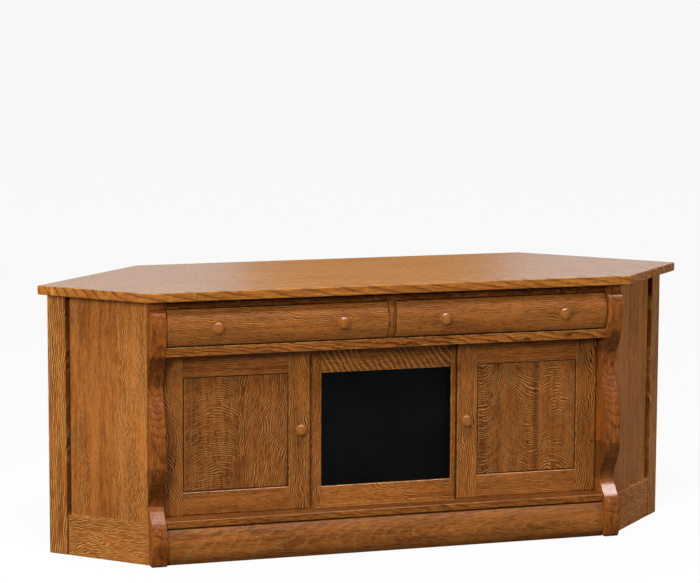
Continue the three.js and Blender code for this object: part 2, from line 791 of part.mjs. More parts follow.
function drawerFront() {
  const front = bowedRail(drawerSetback, drawerBulge, drawerBoxFront, drawerFrontHeight, drawerFrontWidth)
    .translate(0, 0, midRailTop + drawerReveal);
  const crest = drawerSetback - drawerBulge;
  const middle = midRailTop + drawerOpeningHeight / 2;
  const bores = [-1, 1].map((end) => knobBore().translate(end * drawerKnobSpacing / 2, crest, middle));
  const socketWidth = drawerSideThickness + seatGap + cutOverrun;
  const socketStart = drawerFrontWidth / 2 - drawerSideThickness - seatGap;
  const sockets = dovetails(seatGap).flatMap((tail) => {
    const run = tail.map(([depth, up]) => [depth + (depth > drawerBoxFront ? cutOverrun : 0), up]);
    const socket = prism(shapeOf(run), socketWidth).applyMatrix4(acrossCabinet);
    return [
      socket.clone().translate(socketStart, 0, 0),
      socket.clone().translate(-socketStart - socketWidth, 0, 0),
    ];
  });
  const grooveHeight = drawerBottomThickness + 2 * seatGap;
  const grooveLength = drawerFrontWidth - 2 * (drawerSideThickness - drawerGrooveDepth);
  const groove = plainBlock(grooveLength, 2 * drawerGrooveDepth, grooveHeight)
    .translate(0, drawerBoxFront, drawerBoxBottom + drawerBottomRise - seatGap);
  return cutFrom(front, ...bores, ...sockets, groove);
}

function addDrawer(cabinet, name, sign) {
  const drawer = new THREE.Group();
  drawer.position.x = sign * drawerCentre;
  cabinet.add(drawer);
  piece(drawer, `${name}_front`, drawerFront(), 'caseOak');

  const sideCentre = (drawerFrontWidth - drawerSideThickness) / 2;
  const bottomRise = drawerBoxBottom + drawerBottomRise;
  for (const [sideName, end] of sides) {
    const grooveRun = drawerBoxDepth + drawerFrontThickness;
    const groove = plainBlock(2 * drawerGrooveDepth, 2 * grooveRun, drawerBottomThickness + 2 * seatGap)
      .translate(-end * drawerSideThickness / 2, drawerBoxRear, bottomRise - seatGap);
    const board = cutFrom(drawerSide(), groove);
    piece(drawer, `${name}_${sideName}_side`, board, 'drawerMaple', [end * sideCentre, 0, 0]);
  }

  const insideWidth = drawerFrontWidth - 2 * drawerSideThickness;
  const backBottom = bottomRise + drawerBottomThickness + seatGap;
  const backHeight = drawerBoxBottom + drawerBoxHeight - backBottom;
  const back = board(insideWidth - 2 * seatGap, drawerSideThickness, backHeight);
  const backPlace = [0, drawerBoxRear - drawerSideThickness / 2, backBottom];
  piece(drawer, `${name}_back`, back, 'drawerMaple', backPlace);

  const tuck = drawerGrooveDepth - seatGap;
  const bottomDepth = drawerBoxDepth + tuck;
  const bottom = plainBlock(insideWidth + 2 * tuck, bottomDepth, drawerBottomThickness);
  piece(drawer, `${name}_bottom`, bottom, 'drawerMaple', [0, drawerBoxRear - bottomDepth / 2, bottomRise]);

  const crest = drawerSetback - drawerBulge;
  const middle = midRailTop + drawerOpeningHeight / 2;
  for (const [sideName, end] of sides) {
    const place = [end * drawerKnobSpacing / 2, crest, middle];
    piece(drawer, `${name}_${sideName}_knob`, knobGeometry(), 'knobOak', place);
  }
}

const cabinet = new THREE.Group();
cabinet.name = 'corner_cabinet';
addTop(cabinet);
addSleighPosts(cabinet);
addSide(cabinet, 'left', -1);
addSide(cabinet, 'right', 1);
addCentreBack(cabinet);
addFrontRails(cabinet);
addInside(cabinet);
addWoodDoor(cabinet, 'left_door', -1, 0);
addWoodDoor(cabinet, 'right_door', 1, rightKnobShift);
addGlassDoor(cabinet);
addDrawer(cabinet, 'left_drawer', -1);
addDrawer(cabinet, 'right_drawer', 1);

// The origin is the middle of the space that the whole cabinet takes up, at the floor
const reach = new THREE.Box3().setFromObject(cabinet);
cabinet.position.y = -(reach.min.y + reach.max.y) / 2;

export default cabinet;
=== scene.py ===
"""Looks of a stained oak corner cabinet: wood figure, smoked glass, studio and camera."""

import json
import logging
import math
from dataclasses import dataclass, replace
from enum import Enum
from typing import Any, Sequence

import bpy
from mathutils import Matrix, Vector

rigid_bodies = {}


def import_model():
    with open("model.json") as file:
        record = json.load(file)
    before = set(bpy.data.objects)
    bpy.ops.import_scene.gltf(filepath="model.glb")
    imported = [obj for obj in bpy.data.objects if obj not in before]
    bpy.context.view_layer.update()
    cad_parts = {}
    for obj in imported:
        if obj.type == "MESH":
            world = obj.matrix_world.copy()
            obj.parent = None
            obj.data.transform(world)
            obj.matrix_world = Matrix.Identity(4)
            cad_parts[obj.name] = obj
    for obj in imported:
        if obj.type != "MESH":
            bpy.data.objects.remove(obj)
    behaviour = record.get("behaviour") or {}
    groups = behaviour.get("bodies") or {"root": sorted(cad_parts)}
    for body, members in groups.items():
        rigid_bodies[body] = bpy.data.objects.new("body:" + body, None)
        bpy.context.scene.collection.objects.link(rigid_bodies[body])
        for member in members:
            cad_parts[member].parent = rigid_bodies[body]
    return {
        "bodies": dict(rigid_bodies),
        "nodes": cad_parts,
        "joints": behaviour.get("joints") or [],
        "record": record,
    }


log = logging.getLogger("cabinet")

MM = 0.001
SMOOTH_ANGLE = math.radians(20)
WELD_DISTANCE = 0.00001
DIAGONAL = math.sqrt(0.5)
PAST_EDGE = 400.0
PANEL_TUCK = 9.2
SIDE_NAMES = ("left", "right")

Colour = tuple[float, float, float]
Triple = tuple[float, float, float]
Socket = bpy.types.NodeSocket

WHITE: Colour = (1.0, 1.0, 1.0)


class Grain(Enum):
    """The way a board's fibres run, as (along, across) in the cabinet's axes."""

    ALONG_FRONT = ((1.0, 0.0, 0.0), (0.0, 0.0, 1.0))
    UPRIGHT = ((0.0, 0.0, 1.0), (1.0, 0.0, 0.0))
    FRONT_TO_BACK = ((0.0, 1.0, 0.0), (0.0, 0.0, 1.0))
    FLAT_ALONG_FRONT = ((1.0, 0.0, 0.0), (0.0, 1.0, 0.0))
    UPRIGHT_ON_LEFT = ((0.0, 0.0, 1.0), (-DIAGONAL, DIAGONAL, 0.0))
    UPRIGHT_ON_RIGHT = ((0.0, 0.0, 1.0), (DIAGONAL, DIAGONAL, 0.0))
    ALONG_LEFT = ((-DIAGONAL, DIAGONAL, 0.0), (0.0, 0.0, 1.0))
    ALONG_RIGHT = ((DIAGONAL, DIAGONAL, 0.0), (0.0, 0.0, 1.0))
    UPRIGHT_IN_DEPTH = ((0.0, 0.0, 1.0), (0.0, 1.0, 0.0))

    def turn(self) -> Matrix:
        """The rotation whose columns are along, across and through the board."""
        along, across = Vector(self.value[0]), Vector(self.value[1])
        return Matrix((along, across, along.cross(across))).transposed()


class Cut(Enum):
    """How a board was sawn from the log."""

    QUARTER = "quarter"
    FLAT = "flat"


class Kind(Enum):
    """What a group's socket carries, where it isn't a plain number."""

    VECTOR = "NodeSocketVector"
    COLOUR = "NodeSocketColor"


@dataclass(frozen=True)
class OakFinish:
    """A stain and lacquer on oak, as linear colours under plain light."""

    name: str
    dark: Colour
    light: Colour
    fleck: Colour
    line: Colour
    roughness: float = 0.45
    specular: float = 0.1
    coat: float = 0.1
    coat_roughness: float = 0.16


@dataclass(frozen=True)
class GlassFinish:
    """Dark smoked glass, a little deeper in places and with a few polish marks."""

    name: str
    tint: Colour
    roughness: float
    specular: float
    deep: float = 0.7
    cloud_scale: Triple = (6.0, 6.0, 6.0)
    mark_scale: Triple = (40.0, 40.0, 320.0)
    mark_roughness: float = 0.05


CASE_OAK = OakFinish(
    "case_oak", (0.110, 0.028, 0.0050), (0.37, 0.124, 0.0215), (0.66, 0.36, 0.098), (0.030, 0.008, 0.002),
)
PANEL_OAK = OakFinish(
    "panel_oak", (0.085, 0.021, 0.0038), (0.29, 0.092, 0.0155), (0.58, 0.31, 0.086), (0.028, 0.008, 0.002),
)
GOLDEN_OAK = OakFinish(
    "golden_oak", (0.145, 0.038, 0.0060), (0.43, 0.146, 0.0270), (0.76, 0.43, 0.120), (0.040, 0.011, 0.002),
)
POST_OAK = OakFinish(
    "post_oak", (0.100, 0.024, 0.0042), (0.33, 0.098, 0.0150), (0.44, 0.160, 0.034), (0.022, 0.007, 0.002),
    specular=0.06, coat=0.35, coat_roughness=0.18,
)
TOP_OAK = OakFinish(
    "top_oak", (0.24, 0.068, 0.0075), (0.48, 0.178, 0.0215), (0.56, 0.26, 0.045), (0.030, 0.008, 0.002),
    roughness=0.25, specular=0.34, coat=0.22, coat_roughness=0.14,
)
RAIL_OAK = replace(CASE_OAK, name="rail_oak", specular=0.04, coat=0.02)
# A darker copy of the case oak: painted shade for the fascia, which sits under the top's overhang.
PAINTED_SHADE_OAK = OakFinish(
    "painted_shade_oak", (0.070, 0.019, 0.0040), (0.26, 0.088, 0.0160), (0.45, 0.19, 0.045), (0.020, 0.006, 0.002),
    specular=0.04, coat=0.03,
)
KNOB_OAK = OakFinish(
    "knob_oak", (0.20, 0.062, 0.0095), (0.36, 0.130, 0.0260), (0.5, 0.22, 0.06), (0.10, 0.03, 0.006),
    roughness=0.36, specular=0.14, coat=0.16,
)
INSIDE_OAK = OakFinish(
    "inside_board", (0.30, 0.14, 0.05), (0.48, 0.27, 0.11), (0.56, 0.36, 0.17), (0.16, 0.07, 0.025),
    roughness=0.55, specular=0.3, coat=0.0,
)
DRAWER_MAPLE = OakFinish(
    "drawer_maple", (0.50, 0.34, 0.17), (0.66, 0.50, 0.29), (0.72, 0.58, 0.37), (0.38, 0.24, 0.11),
    roughness=0.5, specular=0.35, coat=0.05,
)
SMOKED_GLASS = GlassFinish("smoked_glass", (0.0043, 0.0055, 0.0052), 0.06, 0.07)


@dataclass
class Wiring:
    """Adds nodes to one node tree and joins them."""

    tree: bpy.types.NodeTree

    def node(self, kind: str, *values: Any, **settings: Any) -> bpy.types.Node:
        """Adds a node and fills its inputs in order.

        Args:
            kind: the node's type name.
            *values: values or sockets for the first inputs.
            **settings: the node's own properties.

        Returns:
            The new node.
        """
        made = self.tree.nodes.new(kind)
        for key, value in settings.items():
            setattr(made, key, value)
        for socket, value in zip(made.inputs, values):
            self.feed(socket, value)
        return made

    def feed(self, socket: Socket, value: Any) -> None:
        """Links another node's output to a socket, or sets its value.

        Args:
            socket: the input to fill.
            value: an output socket, or the input's value. A colour may lack its alpha.
        """
        if isinstance(value, Socket):
            self.link(value, socket)
        elif isinstance(value, tuple) and len(value) < len(socket.default_value):
            socket.default_value = (*value, 1.0)
        else:
            socket.default_value = value

    def fill(self, made: bpy.types.Node, **values: Any) -> bpy.types.Node:
        """Feeds a node's inputs by name.

        Args:
            made: the node.
            **values: values or sockets, with spaces in the inputs' names written as underscores.

        Returns:
            The same node.
        """
        for key, value in values.items():
            self.feed(made.inputs[key.replace("_", " ")], value)
        return made

    def link(self, source: Socket, target: Socket) -> None:
        """Links one socket to another."""
        self.tree.links.new(source, target)

    def math(self, operation: str, *values: Any, clamp: bool = False) -> Socket:
        """Joins numbers with a Math node, whose result can be kept between 0 and 1."""
        return self.node("ShaderNodeMath", *values, operation=operation, use_clamp=clamp).outputs[0]

    def times(self, first: Any, second: Any) -> Socket:
        """The product of two numbers."""
        return self.math("MULTIPLY", first, second)

    def vector(self, operation: str, *values: Any) -> Socket:
        """Joins vectors with a Vector Math node and returns its vector socket."""
        return self.node("ShaderNodeVectorMath", *values, operation=operation).outputs[0]

    def split(self, vector: Any) -> list[Socket]:
        """Takes a vector apart into its three sockets."""
        return list(self.node("ShaderNodeSeparateXYZ", vector).outputs)

    def join(self, *values: Any) -> Socket:
        """Puts three numbers together as a vector."""
        return self.node("ShaderNodeCombineXYZ", *values).outputs[0]

    def noise(self, vector: Any, detail: float = 1.0, roughness: float = 0.5) -> Socket:
        """A soft random value, about 0.5 on average, with one feature to each unit of the vector."""
        made = self.node("ShaderNodeTexNoise")
        return self.fill(made, Vector=vector, Scale=1.0, Detail=detail, Roughness=roughness).outputs["Fac"]

    def grain(self, place: Any, scale: Triple, detail: float = 1.0, roughness: float = 0.5) -> Socket:
        """Noise with a given number of features to each metre along, across and through a board."""
        return self.noise(self.vector("MULTIPLY", place, scale), detail, roughness)

    def step(self, value: Any, low: Any, high: Any, start: Any = 0.0, end: Any = 1.0) -> Socket:
        """A smooth step from start to end while the value goes from low to high."""
        edges = (value, low, high, start, end)
        return self.node("ShaderNodeMapRange", *edges, interpolation_type="SMOOTHSTEP").outputs[0]

    def blend(self, factor: Any, first: Any, second: Any) -> Socket:
        """Mixes two colours.

        Args:
            factor: how much of the second.
            first: colour socket or tuple.
            second: colour socket or tuple.

        Returns:
            The mixed colour's socket.
        """
        made = self.node("ShaderNodeMix", data_type="RGBA")
        for index, value in ((0, factor), (6, first), (7, second)):
            self.feed(made.inputs[index], value)
        return made.outputs[2]

    def weigh(self, masks: Sequence[Any], values: Sequence[float]) -> Any:
        """Adds up values, each under its own mask.

        Args:
            masks: one mask for each value.
            values: the numbers.

        Returns:
            The sum's socket.
        """
        total: Any = 0.0
        for mask, value in zip(masks, values):
            total = self.math("MULTIPLY_ADD", mask, value, total)
        return total


class FigureGroup:
    """A shader group with named inputs and outputs, built once and used in many materials."""

    def __init__(self, name: str, inputs: dict[str, float | Kind], *numbers: str, **others: Kind) -> None:
        """Makes the empty group and its sockets.

        Args:
            name: the group's name.
            inputs: each input's default, or its kind where it isn't a number.
            *numbers: the outputs that are numbers.
            **others: the other outputs' kinds.
        """
        self.tree = bpy.data.node_groups.new(name, "ShaderNodeTree")
        self.wiring = Wiring(self.tree)
        outputs = {**others, **dict.fromkeys(numbers, 0.0)}
        for in_out, sockets in (("INPUT", inputs), ("OUTPUT", outputs)):
            for title, item in sockets.items():
                kind = item.value if isinstance(item, Kind) else "NodeSocketFloat"
                made = self.tree.interface.new_socket(title, in_out=in_out, socket_type=kind)
                if not isinstance(item, Kind):
                    made.default_value = item
        self.inputs = self.wiring.node("NodeGroupInput").outputs
        self.outputs = self.wiring.node("NodeGroupOutput").inputs

    def moved(self, *drift: float) -> Socket:
        """The group's vector, moved by the seed times a drift, so that no two boards look the same."""
        w, seed = self.wiring, self.inputs["Seed"]
        return w.vector("ADD", self.inputs["Vector"], w.vector("MULTIPLY", w.join(seed, seed, seed), drift))

    def give(self, **results: Any) -> None:
        """Links results to the outputs of the same names."""
        for name, result in results.items():
            self.wiring.link(result, self.outputs[name])

    def place(self, w: Wiring, **values: Any) -> bpy.types.Node:
        """Puts the group into a material, with its inputs filled by name."""
        return w.fill(w.node("ShaderNodeGroup", node_tree=self.tree), **values)


class WoodFigures:
    """The groups that draw oak: fibres and pores, ray flecks, growth rings, stain, and a painted highlight
    along the edges, broken up by noise.

    The scales are features to each metre along, across and through the board. A bend is a size and a reach
    in metres, a swing is a scale and its share of the wander, and an edge is where a soft step starts and
    ends.
    """

    fine_scale = (30.0, 300.0, 300.0)
    broad_scale = (2.6, 60.0, 60.0)
    pore_scale = (65.0, 560.0, 560.0)
    cloud_scale = (4.5, 13.0, 13.0)
    patch_scale = (9.0, 16.0, 16.0)
    highlight_break_scale = (60.0, 60.0, 60.0)
    fine_share = 0.62
    broad_share = 0.38
    streak_edge = (0.40, 0.60)
    pore_edge = (0.56, 0.68)
    cloud_edge = (0.3, 0.7)
    fleck_edge = (0.24, 0.44)
    shadow_edge = (0.06, 0.24)
    patch_edge = (0.32, 0.52)
    least_patch = 0.25
    late_edge = (0.62, 0.9)
    early_edge = (0.93, 1.0)
    highlight_break_edge = (0.3, 0.6)
    dash_limit = 0.68
    dash_gain = 0.36
    dash_soft = 0.08
    pore_ink = 0.5
    bends = ((0.080, 0.011), (0.028, 0.0042), (0.011, 0.0013))
    swings = (((5.5, 9.0, 9.0), 4.0), ((26.0, 40.0, 40.0), 0.8))
    row_step = 5.37
    arch_unit = 10.0
    body_shares = {"Streak": 0.52, "Cloud": 0.26, "Ring": 0.22}
    rough_parts = (("ADD", "Pore", 0.16), ("SUBTRACT", "Fleck", 0.05), ("ADD", "Streak", 0.04))
    streak_height = 0.3
    height_parts = (("SUBTRACT", "Pore", 0.7), ("SUBTRACT", "Seam", 0.5), ("ADD", "Fleck", 0.15))

    def __init__(self) -> None:
        """Builds all groups."""
        self.fibre = self.build_fibre()
        self.rays = self.build_rays()
        self.rings = self.build_rings()
        self.stain = self.build_stain()
        self.arris = self.build_arris()

    def build_fibre(self) -> FigureGroup:
        """Fine streaks, open pores and slow changes of tone along the board.

        Returns:
            The group, with outputs Streak, Pore and Cloud.
        """
        group = FigureGroup("oak_fibre", {"Vector": Kind.VECTOR, "Seed": 0.0}, "Streak", "Pore", "Cloud")
        w = group.wiring
        place = group.moved(1.7, 0.61, 0.37)
        fine = w.times(w.grain(place, self.fine_scale, 3.0, 0.6), self.fine_share)
        broad = w.times(w.grain(place, self.broad_scale, 2.0), self.broad_share)
        group.give(
            Streak=w.step(w.math("ADD", fine, broad), *self.streak_edge),
            Pore=w.step(w.grain(place, self.pore_scale), *self.pore_edge),
            Cloud=w.step(w.grain(place, self.cloud_scale, 3.0, 0.55), *self.cloud_edge),
        )
        return group

    def build_rays(self) -> FigureGroup:
        """Ray flecks: light squiggles along the contours of a wandering field.

        Returns:
            The group, with outputs Fleck and Shadow, the dark line between two flecks.
        """
        inputs = {
            "Vector": Kind.VECTOR, "Seed": 0.0, "Spacing": 0.006, "Slant": 0.0, "Arch": 0.0,
            "Arch Centre": 0.0, "Wander": 1.5, "Coverage": 0.5, "Length": 0.02,
        }
        group = FigureGroup("ray_flecks", inputs, "Fleck", "Shadow")
        w, given = group.wiring, group.inputs
        place = group.moved(0.83, 0.47, 0.29)
        along, across, _ = w.split(given["Vector"])
        sine, cosine = w.math("SINE", given["Slant"]), w.math("COSINE", given["Slant"])
        over = w.math("ADD", w.times(across, cosine), w.times(along, sine))
        run = w.math("SUBTRACT", w.times(along, cosine), w.times(across, sine))
        offset = w.times(w.math("SUBTRACT", across, given["Arch Centre"]), self.arch_unit)
        arch = w.times(w.times(offset, offset), given["Arch"])
        bend: Any = 0.0
        for size, reach in self.bends:
            noise = w.noise(w.vector("DIVIDE", place, (size, size, size)), 0.0)
            bend = w.math("ADD", bend, w.times(w.math("SUBTRACT", noise, 0.5), 2.0 * reach))
        wavy = w.math("ADD", over, w.times(bend, given["Wander"]))
        phase = w.math("ADD", w.math("DIVIDE", wavy, given["Spacing"]), arch)
        ripple = w.math("PINGPONG", phase, 0.5)
        own = w.times(w.math("FLOOR", phase), self.row_step)
        dash = w.noise(w.join(w.math("DIVIDE", run, given["Length"]), own, given["Seed"]))
        limit = w.math("SUBTRACT", self.dash_limit, w.times(given["Coverage"], self.dash_gain))
        broken = w.step(dash, *(w.math(side, limit, self.dash_soft) for side in ("SUBTRACT", "ADD")))
        patches = w.step(w.grain(place, self.patch_scale), *self.patch_edge, self.least_patch, 1.0)
        shown = w.times(broken, patches)
        group.give(
            Fleck=w.times(w.step(ripple, *self.fleck_edge), shown),
            Shadow=w.times(w.step(ripple, *self.shadow_edge, 1.0, 0.0), shown),
        )
        return group

    def build_rings(self) -> FigureGroup:
        """Growth rings round a pith, which make ovals and flames where a face cuts them.

        Returns:
            The group, with outputs Tone and Line.
        """
        numbers = {"Spacing": 0.006, "Pith Across": 0.0, "Pith Through": 0.06, "Tilt": 0.0, "Wander": 0.01}
        group = FigureGroup("growth_rings", {"Vector": Kind.VECTOR, "Seed": 0.0, **numbers}, "Tone", "Line")
        w, given = group.wiring, group.inputs
        place = group.moved(0.91, 0.53, 0.31)
        along, across, through = w.split(given["Vector"])
        side = w.math("SUBTRACT", across, given["Pith Across"])
        depth = w.math("ADD", through, given["Pith Through"])
        depth = w.math("ADD", depth, w.times(along, given["Tilt"]))
        radius = w.math("SQRT", w.math("ADD", *(w.times(part, part) for part in (side, depth))))
        for scale, share in self.swings:
            swing = w.math("SUBTRACT", w.grain(place, scale, 2.0), 0.5)
            reach = w.times(given["Wander"], share)
            radius = w.math("ADD", radius, w.times(swing, reach))
        turn = w.math("FRACT", w.math("DIVIDE", radius, given["Spacing"]))
        late, early = w.step(turn, *self.late_edge), w.step(turn, *self.early_edge, 1.0, 0.0)
        group.give(Tone=w.step(turn, 0.0, 1.0, 1.0, 0.0), Line=w.times(late, early))
        return group

    def build_arris(self) -> FigureGroup:
        """A painted highlight along the edges of a board of a given size: a mask broken up by noise.

        Returns:
            The group, with output Mask, 1 at the edges.
        """
        inputs = {"Vector": Kind.VECTOR, "Half Size": Kind.VECTOR, "Width": 0.002}
        group = FigureGroup("arris_highlight", inputs, "Mask")
        w, given = group.wiring, group.inputs
        inside = w.vector("SUBTRACT", given["Half Size"], w.vector("ABSOLUTE", given["Vector"]))
        edges = [w.step(part, 0.0, given["Width"], 1.0, 0.0) for part in w.split(inside)]
        pairs = [w.times(edges[a], edges[b]) for a, b in ((0, 1), (1, 2), (0, 2))]
        mask = w.math("MAXIMUM", w.math("MAXIMUM", pairs[0], pairs[1]), pairs[2])
        rough = w.grain(given["Vector"], self.highlight_break_scale, 2.0)
        group.give(Mask=w.times(mask, w.step(rough, *self.highlight_break_edge)))
        return group

    def build_stain(self) -> FigureGroup:
        """Stain and lacquer over the drawn figure, with painted shade and the painted arris highlight mixed
        into the colour.

        Returns:
            The group, with outputs Color, Roughness and Height.
        """
        colours = dict.fromkeys(("Dark", "Light", "Fleck Colour", "Line Colour"), Kind.COLOUR)
        middling = dict.fromkeys(("Streak", "Cloud", "Ring"), 0.5)
        numbers = dict.fromkeys(("Pore", "Fleck", "Line", "Seam", "Arris", "Tone"), 0.0)
        group = FigureGroup(
            "stain_and_lacquer", {**colours, **middling, **numbers, "Roughness": 0.4},
            "Roughness", "Height", Color=Kind.COLOUR,
        )
        w, given = group.wiring, group.inputs
        body, *others = (w.times(given[name], share) for name, share in self.body_shares.items())
        for part in others:
            body = w.math("ADD", body, part)
        body = w.math("ADD", body, given["Tone"], clamp=True)
        colour = w.blend(body, given["Dark"], given["Light"])
        for factor, over in (
            (given["Line"], "Line Colour"),
            (given["Fleck"], "Fleck Colour"),
            (w.times(given["Pore"], self.pore_ink), "Line Colour"),
            (given["Seam"], "Line Colour"),
            # the arris mask paints a highlight along the edges in the fleck colour
            (given["Arris"], "Fleck Colour"),
        ):
            colour = w.blend(factor, colour, given[over])
        rough, height = given["Roughness"], w.times(given["Streak"], self.streak_height)
        for operation, name, share in self.rough_parts:
            rough = w.math(operation, rough, w.times(given[name], share), clamp=True)
        for operation, name, share in self.height_parts:
            height = w.math(operation, height, w.times(given[name], share))
        group.give(Color=colour, Roughness=rough, Height=height)
        return group


@dataclass(frozen=True)
class Stave:
    """One glued board of a wide panel: where it ends across the panel, its own tone and its figure."""

    end: float
    tone: float
    arch: float = 0.0
    centre: float = 0.0
    slant: float = 90.0
    fleck: float = 1.0

    def numbers(self) -> tuple[float, ...]:
        """Tone, arch, centre in metres, slant in radians and fleck."""
        return self.tone, self.arch, self.centre * MM, math.radians(self.slant), self.fleck


@dataclass(frozen=True)
class Shade:
    """A strip beside one side of a board, painted darker, or painted lighter where the amount is negative.
    Most strips are painted shade in gaps, grooves and under overhangs.

    The axis is 0 along, 1 across or 2 through the board, and the side is its far end (1), its near end (-1)
    or both (0). Depth and softness are in millimetres. Beyond turns the strip inside out.
    """

    axis: int
    side: int
    depth: float
    amount: float = 1.0
    soft: float = 0.4
    beyond: bool = False

    def mask(self, w: Wiring, place: Any, half: float) -> Socket:
        """Marks the strip.

        Args:
            w: the material's wiring.
            place: the socket of the place along the strip's axis.
            half: the board's half size on that axis.

        Returns:
            The mask.
        """
        if self.side:
            reach = w.times(place, float(self.side))
        else:
            reach = w.math("ABSOLUTE", place)
        inside = w.math("SUBTRACT", half, reach)
        near, far = (0.0, 1.0) if self.beyond else (1.0, 0.0)
        return w.step(inside, self.depth * MM, (self.depth + self.soft) * MM, near, far)


@dataclass(frozen=True)
class Band:
    """A band across a board at a place on one axis, in millimetres, with soft borders."""

    axis: int
    centre: float
    reach: float
    amount: float
    soft: float = 30.0

    def mask(self, w: Wiring, place: Any, _half: float) -> Socket:
        """Marks the band, which doesn't need the board's half size."""
        away = w.math("ABSOLUTE", w.math("SUBTRACT", place, self.centre * MM))
        return w.step(away, self.reach * MM, (self.reach + self.soft) * MM, 1.0, 0.0)


@dataclass(frozen=True)
class BoardLook:
    """How one piece of wood looks: its cut, the way its grain runs and how strong its figure is.

    Lengths are in millimetres and the slant is in degrees.
    """

    node: str
    grain: Grain
    finish: OakFinish
    cut: Cut = Cut.QUARTER
    tone: float = 0.0
    slant: float = 8.0
    spacing: float = 6.0
    coverage: float = 0.5
    wander: float = 1.2
    length: float = 18.0
    pith: tuple[float, float] = (0.0, 60.0)
    tilt: float = 0.0
    sway: float = 9.0
    staves: tuple[Stave, ...] = ()
    seam: float = 0.7
    fleck: float = 0.5
    ink: float = 0.0
    line: float = 0.4
    flame: float = 0.0
    # strength of the painted highlight along the edges
    arris: float = 0.4
    # strips and bands, mostly painted shade and painted light
    shades: tuple[Shade | Band, ...] = ()
    relief: float = 1.0


def plain_look(node: str, grain: Grain, finish: OakFinish) -> BoardLook:
    """The look of a board with little figure, which is seldom seen."""
    return BoardLook(node, grain, finish, coverage=0.12, slant=5.0)


def knob_look(node: str) -> BoardLook:
    """The look of a turned knob."""
    return BoardLook(node, Grain.UPRIGHT, KNOB_OAK, Cut.FLAT, spacing=5.0, coverage=0.0, sway=4.0)


